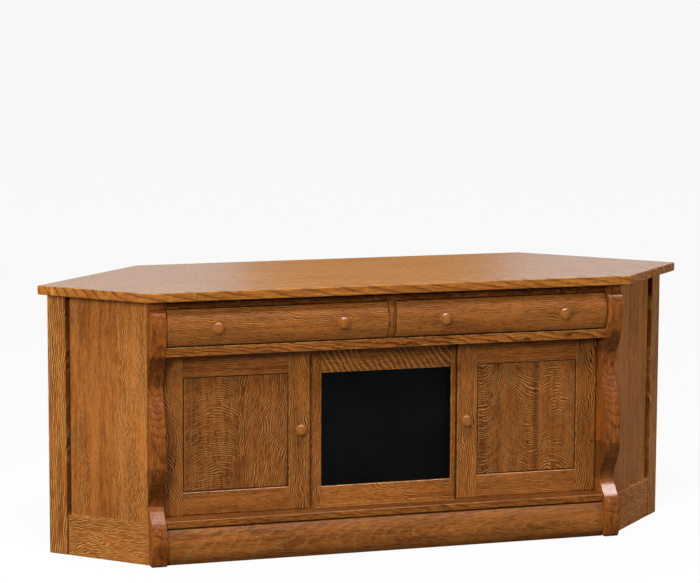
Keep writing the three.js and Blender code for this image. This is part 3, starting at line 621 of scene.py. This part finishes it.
@dataclass
class WoodShop:
    """Makes one material for each board from the shared groups. Lengths are in metres."""

    figures: WoodFigures
    count: int = 0
    seed_step: float = 1.37
    relief: float = 0.00025
    relief_strength: float = 0.35
    fleck_gain: float = 1.2
    ink_gain: float = 1.8
    arris_width: float = 0.003
    seam_edge: tuple[float, float] = (0.0003, 0.0011)

    def board_vector(self, w: Wiring, look: BoardLook, target: bpy.types.Object) -> tuple[Socket, Vector]:
        """Places and turns a board's pattern on the board.

        Args:
            w: the material's wiring.
            look: the board.
            target: the board's object.

        Returns:
            The vector along, across and through the board from its middle, and its half size.
        """
        turn = look.grain.turn()
        axes = list(zip(*(turn.transposed() @ vertex.co for vertex in target.data.vertices)))
        low, high = Vector([min(part) for part in axes]), Vector([max(part) for part in axes])
        place = w.node("ShaderNodeTexCoord").outputs["Object"]
        mapping = w.node("ShaderNodeMapping", vector_type="TEXTURE")
        w.fill(mapping, Vector=place, Location=turn @ ((low + high) / 2), Rotation=turn.to_euler("XYZ"))
        return mapping.outputs["Vector"], (high - low) / 2

    def stave_masks(self, w: Wiring, across: Any, staves: Sequence[Stave]) -> tuple[list[Any], Any]:
        """Marks each stave of a glued panel, and the seams between them.

        Args:
            w: the material's wiring.
            across: the socket of the place across the panel.
            staves: the panel's staves, in order.

        Returns:
            One mask for each stave, and the seam mask.
        """
        masks = [w.math("LESS_THAN", across, stave.end * MM) for stave in staves]
        seam: Any = 0.0
        for index, stave in enumerate(staves[:-1]):
            border = stave.end * MM
            past = w.math("GREATER_THAN", across, border)
            masks[index + 1] = w.times(masks[index + 1], past)
            near = w.math("ABSOLUTE", w.math("SUBTRACT", across, border))
            seam = w.math("MAXIMUM", w.step(near, *self.seam_edge, 1.0, 0.0), seam)
        return masks, seam

    def draw_figure(self, w: Wiring, look: BoardLook, vector: Socket, half: Vector) -> dict[str, Any]:
        """Draws a board's fibres, flecks, rings and staves, and its shades, which are mostly painted shade
        and painted light.

        Args:
            w: the material's wiring.
            look: the board.
            vector: the place along, across and through the board from its middle.
            half: the board's half size.

        Returns:
            The stain group's inputs by name.
        """
        seed = self.count * self.seed_step
        places = w.split(vector)
        fibre = self.figures.fibre.place(w, Vector=vector, Seed=seed).outputs
        arris = self.figures.arris.place(w, Vector=vector, Half_Size=half, Width=self.arris_width)
        values: dict[str, Any] = {name: fibre[name] for name in ("Streak", "Pore", "Cloud")}
        # painted highlight along the arrises, as strong as the look's arris
        values["Arris"] = w.times(arris.outputs["Mask"], look.arris)
        tone, arch, centre, slant, strength = look.tone, 0.0, 0.0, math.radians(look.slant), 1.0
        if look.staves:
            masks, seam = self.stave_masks(w, places[1], look.staves)
            columns = zip(*(stave.numbers() for stave in look.staves))
            tone, arch, centre, slant, strength = (w.weigh(masks, column) for column in columns)
            values["Seam"] = w.times(seam, look.seam)
        rays = self.figures.rays.place(
            w, Vector=vector, Seed=seed, Spacing=look.spacing * MM, Slant=slant, Arch=arch,
            Arch_Centre=centre, Wander=look.wander, Coverage=look.coverage, Length=look.length * MM,
        ).outputs
        light, dark = look.fleck * self.fleck_gain, look.ink * self.ink_gain
        fleck = w.times(rays["Fleck"], w.times(strength, light))
        line = w.times(rays["Shadow"], w.times(strength, dark))
        if look.cut is Cut.FLAT:
            rings = self.figures.rings.place(
                w, Vector=vector, Seed=seed, Spacing=look.spacing * MM, Pith_Across=look.pith[0] * MM,
                Pith_Through=look.pith[1] * MM, Tilt=look.tilt, Wander=look.sway * MM,
            ).outputs
            values["Ring"] = rings["Tone"]
            line = w.math("MAXIMUM", line, w.times(rings["Line"], look.line))
            fleck = w.math("MAXIMUM", fleck, w.times(rings["Line"], look.flame))
        # Shades: painted shade darkens towards the line colour through the seam-and-shade channel, and a
        # negative amount paints a lighter tone.
        for shade in look.shades:
            mask = shade.mask(w, places[shade.axis], half[shade.axis])
            if shade.amount > 0:
                darker = w.times(mask, shade.amount)
                values["Seam"] = w.math("MAXIMUM", darker, values.get("Seam", 0.0))
            else:
                tone = w.math("MULTIPLY_ADD", mask, -shade.amount, tone)
        return {**values, "Fleck": fleck, "Line": line, "Tone": tone}

    def dress(self, look: BoardLook, target: bpy.types.Object) -> None:
        """Makes a board's material and puts it on the board.

        Args:
            look: the board.
            target: the object that wears it.
        """
        self.count += 1
        finish = look.finish
        material = bpy.data.materials.new(f"{finish.name}_{look.node}")
        material.use_nodes = True
        w = Wiring(material.node_tree)
        figure = self.draw_figure(w, look, *self.board_vector(w, look, target))
        stain = self.figures.stain.place(
            w, Dark=finish.dark, Light=finish.light, Fleck_Colour=finish.fleck, Line_Colour=finish.line,
            Roughness=finish.roughness, **figure,
        ).outputs
        strength = self.relief_strength * look.relief
        bump = w.node("ShaderNodeBump")
        w.fill(bump, Distance=self.relief, Strength=strength, Height=stain["Height"])
        w.fill(
            material.node_tree.nodes["Principled BSDF"], Base_Color=stain["Color"],
            Roughness=stain["Roughness"], Normal=bump.outputs["Normal"], Specular_IOR_Level=finish.specular,
            Coat_Weight=finish.coat, Coat_Roughness=finish.coat_roughness,
        )
        wear(target, material)
        log.info("%s wears %s", look.node, material.name)


def wear(target: bpy.types.Object, material: bpy.types.Material) -> None:
    """Gives a piece one material.

    Args:
        target: the object.
        material: its only material.
    """
    for slot in target.material_slots:
        slot.material = material
    if not target.material_slots:
        target.data.materials.append(material)


def glass_material(finish: GlassFinish) -> bpy.types.Material:
    """Smoked glass with a faint change of depth and a few polish marks.

    Args:
        finish: the glass.

    Returns:
        The material.
    """
    material = bpy.data.materials.new(finish.name)
    material.use_nodes = True
    w = Wiring(material.node_tree)
    place = w.node("ShaderNodeTexCoord").outputs["Object"]
    cloud = w.step(w.grain(place, finish.cloud_scale, 2.0), 0.3, 0.7)
    deep = tuple(part * finish.deep for part in finish.tint)
    marks = w.step(w.grain(place, finish.mark_scale, 3.0), 0.5, 0.75)
    rough = w.math("ADD", w.times(marks, finish.mark_roughness), finish.roughness)
    w.fill(
        material.node_tree.nodes["Principled BSDF"], Base_Color=w.blend(cloud, deep, finish.tint),
        Roughness=rough, Specular_IOR_Level=finish.specular,
    )
    return material


class Smoother:
    """Lets round work shade as one surface, and keeps every arris crisp."""

    def __init__(self) -> None:
        """Builds the node group that all CAD nodes share."""
        tree = bpy.data.node_groups.new("round_work", "GeometryNodeTree")
        for in_out in ("INPUT", "OUTPUT"):
            tree.interface.new_socket("Geometry", in_out=in_out, socket_type="NodeSocketGeometry")
        w = Wiring(tree)
        angle = w.node("GeometryNodeInputMeshEdgeAngle").outputs["Unsigned Angle"]
        compare = w.node("FunctionNodeCompare", angle, SMOOTH_ANGLE, data_type="FLOAT", operation="LESS_THAN")
        work = w.node("NodeGroupInput").outputs[0]
        for kind, settings, values in (
            ("GeometryNodeRemoveAttribute", {}, {"Name": "custom_normal"}),
            ("GeometryNodeMergeByDistance", {}, {"Distance": WELD_DISTANCE}),
            ("GeometryNodeSetShadeSmooth", {"domain": "FACE"}, {"Shade_Smooth": True}),
            ("GeometryNodeSetShadeSmooth", {"domain": "EDGE"}, {"Shade_Smooth": compare.outputs[0]}),
        ):
            work = w.fill(w.node(kind, **settings), Geometry=work, **values).outputs["Geometry"]
        w.node("NodeGroupOutput", work)
        self.tree = tree

    def apply(self, target: bpy.types.Object) -> None:
        """Adds the modifier to a CAD node, whose own mesh stays as it is."""
        modifier = target.modifiers.new("round_work", "NODES")
        modifier.node_group = self.tree


@dataclass
class Assembly:
    """Pieces of wood that move together."""

    frame: dict[str, Any]
    shop: WoodShop
    smoother: Smoother

    def boards(self) -> list[BoardLook]:
        """The looks of this assembly's boards, in the order in which they are dressed."""
        return []

    def build(self) -> None:
        """Dresses every board of the assembly."""
        for look in self.boards():
            node = self.frame["nodes"][look.node]
            self.smoother.apply(node)
            self.shop.dress(look, node)


@dataclass(frozen=True)
class CaseEnd:
    """What differs between the two ends of the case."""

    name: str
    upright: Grain
    level: Grain
    post: OakFinish
    # A band of painted shade on the post under its crest.
    shade_under_crest: Band
    staves: tuple[Stave, ...]


LEFT_END = CaseEnd(
    "left", Grain.UPRIGHT_ON_LEFT, Grain.ALONG_LEFT, replace(POST_OAK, name="left_post_oak", coat=0.06),
    Band(0, 170.0, 38.0, 0.4, 14.0),
    (
        Stave(-33.0, 0.14, slant=10.0, fleck=1.2),
        Stave(59.0, 0.02, slant=4.0, fleck=0.3),
        Stave(PAST_EDGE, -0.06, slant=24.0, fleck=0.9),
    ),
)
RIGHT_END = CaseEnd(
    "right", Grain.UPRIGHT_ON_RIGHT, Grain.ALONG_RIGHT, POST_OAK, Band(0, 202.0, 27.0, 0.4, 14.0),
    (
        Stave(-30.0, 0.05, slant=8.0, fleck=0.6),
        Stave(50.0, -0.05, slant=5.0, fleck=0.4),
        Stave(PAST_EDGE, 0.0, slant=8.0, fleck=0.7),
    ),
)


@dataclass
class Case(Assembly):
    """The top, posts, sides, rails, backs and the boards inside."""

    ends: tuple[CaseEnd, ...] = (LEFT_END, RIGHT_END)
    top_slant: float = 4.0
    top_borders: tuple[tuple[float, float], ...] = (
        (-190.0, -0.07), (-80.0, -0.16), (40.0, -0.02), (165.0, -0.12), (PAST_EDGE, -0.06),
    )
    # Painted shade in the cove under the knee, and painted light on the knee.
    post_bands: tuple[Band, ...] = (Band(0, -150.0, 53.0, 0.46, 7.0), Band(0, 10.0, 34.0, -0.1, 44.0))

    def boards(self) -> list[BoardLook]:
        """The looks of the case's boards.

        Returns:
            One look for each node.
        """
        looks = self.front_boards()
        for end in self.ends:
            looks += self.end_boards(end)
        for name, grain in (
            ("centre_back", Grain.UPRIGHT),
            ("bottom_board", Grain.FLAT_ALONG_FRONT),
            ("drawer_deck", Grain.FLAT_ALONG_FRONT),
            ("drawer_web", Grain.FRONT_TO_BACK),
            ("centre_shelf", Grain.FLAT_ALONG_FRONT),
        ):
            looks.append(plain_look(name, grain, INSIDE_OAK))
        for name in ("lower_door_guide", "upper_door_guide"):
            looks.append(plain_look(name, Grain.ALONG_FRONT, CASE_OAK))
        return looks

    def front_boards(self) -> list[BoardLook]:
        """The looks of the top, the rails and the drawers' divider.

        Returns:
            Six looks.
        """
        top_staves = tuple(Stave(end, tone, slant=self.top_slant) for end, tone in self.top_borders)
        return [
            # Painted light: the top face is painted lighter than the slab's edges.
            BoardLook(
                "top_slab", Grain.FLAT_ALONG_FRONT, TOP_OAK, Cut.FLAT, spacing=20.0, coverage=0.1, wander=1.0,
                pith=(-290.0, 60.0), tilt=0.22, sway=7.0, staves=top_staves, line=0.45, seam=0.3, arris=0.2,
                relief=0.2, shades=(Shade(2, 1, 0.6, -0.38),),
            ),
            # Painted shade: the base rail darkens towards its bottom.
            BoardLook(
                "base_rail", Grain.ALONG_FRONT, CASE_OAK, Cut.FLAT, spacing=2.6, coverage=0.15, wander=1.0,
                pith=(-4.0, 40.0), tilt=-0.05, sway=3.2, line=0.12, flame=0.17, fleck=0.0, tone=-0.04,
                arris=0.5, shades=(Shade(1, -1, 4.0, 0.4, 30.0),),
            ),
            BoardLook(
                "sill_rail", Grain.ALONG_FRONT, RAIL_OAK, Cut.FLAT, tone=-0.12, slant=3.0, spacing=5.0,
                coverage=0.15, fleck=0.12, pith=(-20.0, 24.0), tilt=0.05, sway=8.0, line=0.4, arris=0.25,
            ),
            # Painted shade on the mid rail's top face, in the gap under the drawers.
            BoardLook(
                "mid_rail", Grain.ALONG_FRONT, RAIL_OAK, Cut.FLAT, spacing=5.0, coverage=0.1, fleck=0.25,
                pith=(-20.0, 24.0), tilt=0.06, sway=6.0, line=0.75, arris=0.5,
                shades=(Shade(1, 1, 0.9, 0.9),),
            ),
            # Painted shade: the fascia under the top's overhang is darker overall and darkest along its top,
            # with a dark line along its bottom in the gap above the drawers.
            BoardLook(
                "fascia_rail", Grain.ALONG_FRONT, PAINTED_SHADE_OAK, Cut.FLAT, tone=-0.45, spacing=6.0,
                coverage=0.1, pith=(-10.0, 20.0), tilt=0.06, sway=6.0,
                shades=(Shade(1, -1, 1.2, 0.9), Shade(1, 1, 5.0, 0.6, 5.0)),
            ),
            BoardLook(
                "drawer_divider", Grain.UPRIGHT, CASE_OAK, coverage=0.4, tone=-0.3, fleck=0.12, ink=0.4,
            ),
        ]

    def end_boards(self, end: CaseEnd) -> list[BoardLook]:
        """The looks of one end of the case.

        Args:
            end: the left or the right end.

        Returns:
            Its posts, rail and panel, and the plain boards behind them.
        """
        looks = [
            # The inner side is lighter, partly its quarter-sawn colour and partly painted light; the bands
            # are painted shade and light, and the strip at the foot's bottom is painted shade under the foot.
            BoardLook(
                f"{end.name}_sleigh_post", Grain.UPRIGHT, end.post, Cut.FLAT, spacing=8.5, coverage=0.0,
                pith=(8.0, -40.0), tilt=0.14, sway=5.0, line=0.24, shades=(
                    Shade(1, -1, 0.3, -0.3), *self.post_bands, end.shade_under_crest, Shade(0, -1, 2.6, 0.85, 2.4),
                ),
            ),
            # Painted shade on the rear post's face in the groove beside the side panel.
            BoardLook(
                f"{end.name}_rear_post", end.upright, GOLDEN_OAK, slant=4.0, spacing=6.5, coverage=0.6,
                wander=0.8, length=60.0, fleck=0.4, ink=0.35, arris=0.1, shades=(Shade(1, -1, 0.3, 0.45),),
            ),
            # Painted shade along the rail's rear end, in the groove beside the rear post.
            BoardLook(
                f"{end.name}_side_rail", end.level, GOLDEN_OAK, slant=9.0, spacing=5.6, coverage=0.6,
                wander=1.7, length=28.0, fleck=0.42, ink=0.3, arris=0.12,
                shades=(Shade(0, 1, 4.0, 0.95, 1.2),),
            ),
            # Painted shade on the panel's edges, where they show in the groove beside the rear post.
            BoardLook(
                f"{end.name}_side_panel", end.upright, GOLDEN_OAK, spacing=4.4, coverage=0.5, wander=1.1,
                length=15.0, staves=end.staves, fleck=0.34, ink=0.4, seam=0.35,
                shades=(Shade(2, 0, 0.4, 0.75, beyond=True),),
            ),
        ]
        for name, grain in (
            ("wall_back", end.upright),
            ("drawer_guide", Grain.FRONT_TO_BACK),
            ("partition", Grain.UPRIGHT_IN_DEPTH),
            ("shelf", Grain.FLAT_ALONG_FRONT),
        ):
            looks.append(plain_look(f"{end.name}_{name}", grain, INSIDE_OAK))
        return looks


@dataclass
class PanelDoor(Assembly):
    """A frame-and-panel door with a turned knob."""

    name: str
    staves: tuple[Stave, ...]
    stile_slants: tuple[float, float]
    rail_slants: tuple[float, float]
    panel_spacing: float = 6.6
    panel_wander: float = 1.1
    # Painted shade along the panel's border in the frame's recess, and a painted light strip beside it on the
    # left.
    panel_shades: tuple[Shade, ...] = (
        Shade(0, -1, PANEL_TUCK + 3.0, 0.85, 1.0), Shade(0, 1, PANEL_TUCK + 3.0, 0.85, 1.2),
        Shade(1, -1, PANEL_TUCK + 4.6, 0.9, 1.2), Shade(1, 1, PANEL_TUCK + 1.8, 0.85, 1.2),
        Shade(1, -1, PANEL_TUCK + 7.0, -0.5, 1.5),
    )
    bands: tuple[Band, ...] = ()
    # Depths in millimetres of painted shade along the outer edges of the left and right stiles.
    outer_shade: tuple[float, float] = (0.3, 0.3)
    foot_tone: float = 0.04

    def boards(self) -> list[BoardLook]:
        """The looks of the door's pieces.

        Returns:
            Two stiles, two rails, the panel and the knob.
        """
        left, right = self.stile_slants
        top, bottom = self.rail_slants
        return [
            BoardLook(
                f"{self.name}_left_stile", Grain.UPRIGHT, CASE_OAK, slant=left, coverage=0.5, length=18.0,
                fleck=0.28, ink=0.5, shades=(Shade(1, -1, self.outer_shade[0], 0.85),),
            ),
            BoardLook(
                f"{self.name}_right_stile", Grain.UPRIGHT, CASE_OAK, slant=right, coverage=0.6, length=26.0,
                wander=1.6, fleck=0.24, ink=0.6, shades=(Shade(1, 1, self.outer_shade[1], 0.85),),
            ),
            # Painted shade under the mid rail: the top rail is a little darker.
            BoardLook(
                f"{self.name}_top_rail", Grain.ALONG_FRONT, CASE_OAK, tone=-0.08, slant=top, spacing=4.5,
                coverage=0.4, wander=0.5, length=40.0, fleck=0.16, ink=0.45,
            ),
            BoardLook(
                f"{self.name}_bottom_rail", Grain.ALONG_FRONT, CASE_OAK, tone=self.foot_tone, slant=bottom,
                spacing=5.0, coverage=0.45, wander=0.7, length=34.0, fleck=0.22, ink=0.35, arris=0.3,
            ),
            BoardLook(
                f"{self.name}_panel", Grain.UPRIGHT, PANEL_OAK, spacing=self.panel_spacing, coverage=0.65,
                wander=self.panel_wander, length=24.0, staves=self.staves, seam=0.1, fleck=0.42, ink=0.35,
                shades=(*self.panel_shades, *self.bands),
            ),
            knob_look(f"{self.name}_knob"),
        ]


@dataclass
class GlassDoor(Assembly):
    """The middle door: a frame round a bevelled pane."""

    name: str = "glass_door"
    glass: GlassFinish = SMOKED_GLASS

    def boards(self) -> list[BoardLook]:
        """The looks of the frame's pieces.

        Returns:
            Two stiles and two rails.
        """
        stiles = [
            BoardLook(f"{self.name}_{side}_stile", Grain.UPRIGHT, CASE_OAK, slant=4.0, coverage=0.25, ink=0.4)
            for side in SIDE_NAMES
        ]
        return stiles + [
            # Painted shade under the mid rail: the top rail is a little darker.
            BoardLook(
                f"{self.name}_top_rail", Grain.ALONG_FRONT, CASE_OAK, tone=-0.08, slant=58.0, spacing=15.0,
                coverage=0.9, wander=0.9, length=60.0, fleck=0.26, ink=0.16,
            ),
            BoardLook(
                f"{self.name}_bottom_rail", Grain.ALONG_FRONT, GOLDEN_OAK, tone=0.08, slant=20.0,
                coverage=0.6, wander=1.8, length=22.0, fleck=0.2, ink=0.2,
            ),
        ]

    def build(self) -> None:
        """Dresses the frame and the pane."""
        super().build()
        pane = self.frame["nodes"][f"{self.name}_pane"]
        wear(pane, glass_material(self.glass))
        log.info("%s_pane wears %s", self.name, self.glass.name)


@dataclass
class Drawer(Assembly):
    """A bow-front drawer with two knobs."""

    name: str
    slant: float = 4.0

    def boards(self) -> list[BoardLook]:
        """The looks of the drawer's pieces.

        Returns:
            The front, the box and the knobs.
        """
        looks = [
            # Painted shade in the gaps along the front's bottom and top edges.
            BoardLook(
                f"{self.name}_front", Grain.ALONG_FRONT, CASE_OAK, tone=0.08, slant=self.slant, spacing=4.6,
                coverage=0.5, wander=1.1, length=26.0, fleck=0.24, ink=0.5,
                shades=(Shade(1, -1, 1.6, 0.85), Shade(1, 1, 0.8, 0.6)),
            ),
            BoardLook(f"{self.name}_back", Grain.ALONG_FRONT, DRAWER_MAPLE, coverage=0.05),
            BoardLook(f"{self.name}_bottom", Grain.FLAT_ALONG_FRONT, DRAWER_MAPLE, coverage=0.05),
        ]
        for side in SIDE_NAMES:
            looks += [
                BoardLook(f"{self.name}_{side}_side", Grain.FRONT_TO_BACK, DRAWER_MAPLE, coverage=0.05),
                knob_look(f"{self.name}_{side}_knob"),
            ]
        return looks


@dataclass(frozen=True)
class SoftBox:
    """A lamp with a wide face: its place, size and aim in metres, and its power in watts."""

    name: str
    place: Triple
    size: tuple[float, float]
    power: float
    lights: bool = True
    shows: bool = False
    aim: Triple = (0.0, 0.0, 0.4)

    def hang(self) -> None:
        """Adds the lamp, which lights matt surfaces or shows in the gloss, and which the camera can't see."""
        lamp = bpy.data.lights.new(self.name, "AREA")
        lamp.shape = "RECTANGLE"
        lamp.size, lamp.size_y = self.size
        lamp.energy = self.power
        holder = bpy.data.objects.new(self.name, lamp)
        bpy.context.scene.collection.objects.link(holder)
        holder.location = self.place
        holder.rotation_euler = (Vector(self.aim) - Vector(self.place)).to_track_quat("-Z", "Y").to_euler()
        holder.visible_camera = False
        holder.visible_diffuse = self.lights
        holder.visible_glossy = self.shows


SOFT_BOXES = (
    SoftBox("key", (-3.7, -5.7, 2.75), (1.5, 1.3), 262.0),
    SoftBox("over", (-0.9, -2.6, 4.5), (1.6, 1.0), 128.0),
    SoftBox("side", (-4.6, -1.6, 1.6), (1.4, 1.6), 80.0),
    SoftBox("fill", (4.8, -2.9, 1.8), (2.0, 2.0), 112.0),
    SoftBox("shine", (0.7, -1.05, 3.6), (3.4, 2.3), 820.0, lights=False, shows=True, aim=(0.67, -0.29, 0.5)),
)


@dataclass
class Studio:
    """Floor, world, lamps and camera. Lengths are in metres and angles in radians.

    The unseen colour is the floor's in bounced light and reflections, and the beside colour takes its place
    behind and to the right of the object.
    """

    camera_place: Triple = (-2.3034, -7.19455, 1.7336)
    yaw: float = 0.3051
    pitch: float = 0.1356
    roll: float = 0.0039
    lens: float = 135.98
    sensor: float = 36.0
    floor_size: float = 300.0
    floor_drop: float = 0.0005
    floor_colour: Colour = (0.9, 0.9, 0.9)
    floor_unseen: Colour = (0.16, 0.16, 0.16)
    floor_beside: Colour = (0.33, 0.32, 0.29)
    floor_edge: tuple[float, float] = (0.9, 1.8)
    floor_slope: float = 0.5
    floor_white: float = 0.91
    floor_patches: float = 0.97
    patch_scale: Triple = (3.0, 3.0, 3.0)
    world_edge: tuple[float, float] = (-0.1, 0.6)
    world_front: float = 0.10
    world_back: float = 0.80
    card_colour: Colour = (0.74, 0.34, 0.09)
    card_bearing: float = 0.314
    card_edge: tuple[float, float] = (0.042, 0.058)
    card_rise: tuple[float, float] = (0.30, 0.42)
    lamps: tuple[SoftBox, ...] = SOFT_BOXES

    def build(self) -> None:
        """Builds the whole studio."""
        self.add_floor()
        self.add_world()
        for lamp in self.lamps:
            lamp.hang()
        self.add_camera()

    def add_floor(self) -> None:
        """A pale floor that the camera sees as nearly white, with the object's shadow on it."""
        bpy.ops.mesh.primitive_plane_add(size=self.floor_size, location=(0.0, 0.0, -self.floor_drop))
        floor = bpy.context.active_object
        floor.name = "studio_floor"
        material = bpy.data.materials.new("studio_floor")
        material.use_nodes = True
        nodes = material.node_tree.nodes
        nodes.remove(nodes["Principled BSDF"])
        w = Wiring(material.node_tree)
        place = w.node("ShaderNodeTexCoord").outputs["Object"]
        camera = w.node("ShaderNodeLightPath").outputs["Is Camera Ray"]
        darker = tuple(part * self.floor_patches for part in self.floor_colour)
        pale = w.blend(w.grain(place, self.patch_scale, 2.0), darker, self.floor_colour)
        side, depth, _ = w.split(place)
        behind = w.step(w.math("ADD", side, w.times(depth, self.floor_slope)), *self.floor_edge)
        unseen = w.blend(behind, self.floor_unseen, self.floor_beside)
        diffuse = w.node("ShaderNodeBsdfDiffuse", w.blend(camera, unseen, pale)).outputs[0]
        glow = w.node("ShaderNodeEmission").outputs[0]
        white = w.times(camera, self.floor_white)
        mixed = w.node("ShaderNodeMixShader", white, diffuse, glow)
        w.link(mixed.outputs[0], nodes["Material Output"].inputs["Surface"])
        floor.data.materials.append(material)

    def add_world(self) -> None:
        """White behind the object and dim on the camera's side, with a tan card behind the top's middle."""
        world = bpy.data.worlds.new("studio")
        bpy.context.scene.world = world
        world.use_nodes = True
        w = Wiring(world.node_tree)
        side, depth, rise = w.split(w.node("ShaderNodeTexCoord").outputs["Generated"])
        level = w.step(depth, *self.world_edge, self.world_front, self.world_back)
        turned = w.math("SUBTRACT", w.math("ARCTAN2", side, depth), self.card_bearing)
        beside = w.step(w.math("ABSOLUTE", turned), *self.card_edge, 1.0, 0.0)
        card = w.times(beside, w.step(rise, *self.card_rise, 1.0, 0.0))
        camera = w.node("ShaderNodeLightPath").outputs["Is Camera Ray"]
        colour = w.blend(camera, w.blend(card, WHITE, self.card_colour), WHITE)
        background = world.node_tree.nodes["Background"]
        w.fill(background, Strength=w.math("MAXIMUM", level, camera), Color=colour)

    def add_camera(self) -> None:
        """The camera at the photograph's place, turn and lens."""
        forward = Vector((
            math.sin(self.yaw) * math.cos(self.pitch),
            math.cos(self.yaw) * math.cos(self.pitch),
            -math.sin(self.pitch),
        ))
        level = Vector((math.cos(self.yaw), -math.sin(self.yaw), 0.0))
        rise = level.cross(forward)
        right = level * math.cos(self.roll) + rise * math.sin(self.roll)
        up = rise * math.cos(self.roll) - level * math.sin(self.roll)
        data = bpy.data.cameras.new("camera")
        data.lens = self.lens
        data.sensor_width = self.sensor
        data.clip_end = self.floor_size
        camera = bpy.data.objects.new("camera", data)
        bpy.context.scene.collection.objects.link(camera)
        turn = Matrix((right, up, -forward)).transposed().to_4x4()
        camera.matrix_world = Matrix.Translation(self.camera_place) @ turn
        bpy.context.scene.camera = camera


LEFT_DOOR_STAVES = (
    Stave(9.0, -0.02, arch=7.0, centre=-60.0, fleck=0.85),
    Stave(PAST_EDGE, 0.02, slant=-14.0, fleck=0.8),
)
RIGHT_DOOR_STAVES = (
    Stave(-70.0, -0.10, arch=-14.0, centre=-138.0),
    Stave(39.0, 0.04, arch=-8.5, centre=37.0),
    Stave(PAST_EDGE, 0.20, arch=13.0, centre=83.0),
)
RIGHT_DOOR_BANDS = (
    Band(1, 31.0, 3.0, 0.4, 9.0), Band(1, 43.0, 2.0, -0.2, 8.0), Band(1, -66.0, 2.0, -0.2, 8.0),
)


def clear_scene() -> None:
    """Removes what Blender starts with."""
    for item in list(bpy.data.objects):
        bpy.data.objects.remove(item)


def main() -> None:
    """Loads the frame, dresses each assembly and sets up the studio."""
    logging.basicConfig(level=logging.INFO, format="%(message)s")
    clear_scene()
    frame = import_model()
    bpy.ops.object.select_all(action="DESELECT")
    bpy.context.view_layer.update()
    bpy.context.scene.view_settings.view_transform = "Standard"
    shared = {"frame": frame, "shop": WoodShop(WoodFigures()), "smoother": Smoother()}
    Case(**shared).build()
    PanelDoor(
        **shared, name="left_door", staves=LEFT_DOOR_STAVES, stile_slants=(22.0, 6.0),
        rail_slants=(4.0, 24.0),
    ).build()
    PanelDoor(
        **shared, name="right_door", staves=RIGHT_DOOR_STAVES, bands=RIGHT_DOOR_BANDS, outer_shade=(0.3, 2.2),
        foot_tone=0.14, stile_slants=(6.0, 10.0), rail_slants=(3.0, 5.0), panel_spacing=7.6, panel_wander=1.5,
    ).build()
    GlassDoor(**shared).build()
    Drawer(**shared, name="left_drawer").build()
    Drawer(**shared, name="right_drawer", slant=6.0).build()
    Studio().build()
    bpy.context.view_layer.update()


if __name__ == "__main__":
    main()
